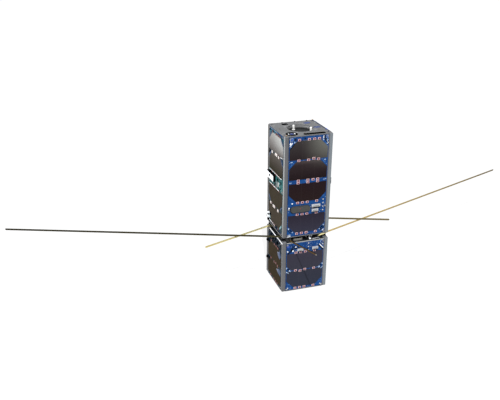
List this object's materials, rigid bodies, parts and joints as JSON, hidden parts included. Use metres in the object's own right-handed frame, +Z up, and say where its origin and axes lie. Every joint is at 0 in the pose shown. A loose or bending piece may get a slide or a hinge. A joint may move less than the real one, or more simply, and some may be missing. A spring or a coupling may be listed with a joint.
{
  "type": "cube satellite",
  "caption": "Three-unit cube satellite with body-mounted solar panels on railed aluminium frames and tape antennas deployed from the gap between its bays.",
  "frame": {"origin": "centre of the four rail feet, at the height of the feet", "axes": "+Z up along the rails, -Y out of the front face, +X to the right as the front face is seen"},
  "size_m": [1.2265, 0.3114, 0.3425],
  "materials": {
    "frame_aluminium": "clear-anodised, fine grained",
    "plate_aluminium": "milled, matte",
    "panel_board": "blue solder mask with fine tracks",
    "solar_cell": "dark brown-grey under cover glass",
    "bypass_diode": "pale blue-grey",
    "cell_tab": "pale pink with a dark red centre",
    "connector_metal": "bright, stamped",
    "cover_grey": "moulded, dark grey",
    "screw_steel": "turned",
    "white_plastic": "smooth",
    "antenna_board": "black solder mask",
    "dark_metal": "dark anodised",
    "black_plastic": "moulded",
    "antenna_olive": "dark olive coated tape",
    "antenna_gold": "bright tape",
    "antenna_brown": "brown coated tape",
    "port_blue": "blue cap",
    "contact_brass": "gold-plated pin",
    "stack_board": "green solder mask",
    "battery_sleeve": "shrink sleeve"
  },
  "bodies": {
    "bus": {"lower_left_frame": "frame_aluminium", "lower_right_frame": "frame_aluminium", "upper_left_frame": "frame_aluminium", "upper_right_frame": "frame_aluminium", "bottom_plate": "plate_aluminium", "lower_lid": "plate_aluminium", "upper_base_plate": "plate_aluminium", "top_plate": "plate_aluminium", "mid_ribs": "frame_aluminium", "front_upper_panel": "panel_board", "right_upper_panel": "panel_board", "back_upper_panel": "panel_board", "left_upper_panel": "panel_board", "front_lower_panel": "panel_board", "right_lower_panel": "panel_board", "back_lower_panel": "panel_board", "left_lower_panel": "panel_board", "front_cells": "solar_cell", "right_cells": "solar_cell", "back_cells": "solar_cell", "left_cells": "solar_cell", "bypass_diodes": "bypass_diode", "cell_tabs": "cell_tab", "panel_connectors": "connector_metal", "umbilical_cover": "cover_grey", "panel_screws": "screw_steel", "plate_screws": "screw_steel", "sun_sensor": "white_plastic", "edge_sensors": "white_plastic", "antenna_board": "antenna_board", "cable_collar": "dark_metal", "release_blocks": "white_plastic", "bay_standoffs": "screw_steel", "antenna_clamps": "black_plastic", "clamp_screws": "screw_steel", "vhf_antenna_left": "antenna_olive", "vhf_antenna_right": "antenna_gold", "uhf_antenna_left": "antenna_gold", "uhf_antenna_right": "antenna_olive", "front_whip": "antenna_brown", "payload_well": "dark_metal", "payload_housing": "dark_metal", "probes": "white_plastic", "top_sun_sensor": "black_plastic", "port_plugs": "port_blue", "spring_front_left": "screw_steel", "spring_back_right": "screw_steel", "switch_bodies": "black_plastic", "stack_rods": "screw_steel", "stack_spacers": "screw_steel", "stack_headers": "black_plastic", "battery_board": "stack_board", "battery_cells": "battery_sleeve", "radio_board": "stack_board", "computer_board": "stack_board", "attitude_board": "stack_board", "wheel_unit": "dark_metal", "payload_board": "stack_board"},
    "plunger_front_left": {"plunger_front_left": "contact_brass"},
    "plunger_back_right": {"plunger_back_right": "contact_brass"}
  },
  "joints": [
    {"name": "front_left_switch", "type": "slide", "parent": "bus", "child": "plunger_front_left", "axis": [0, 0, 1], "range_m": [-0.002, 0], "stiffness_N_per_m": 600, "springref_m": 0.002, "deforming": ["spring_front_left"]},
    {"name": "back_right_switch", "type": "slide", "parent": "bus", "child": "plunger_back_right", "axis": [0, 0, 1], "range_m": [-0.002, 0], "stiffness_N_per_m": 600, "springref_m": 0.002, "deforming": ["spring_back_right"]}
  ]
}
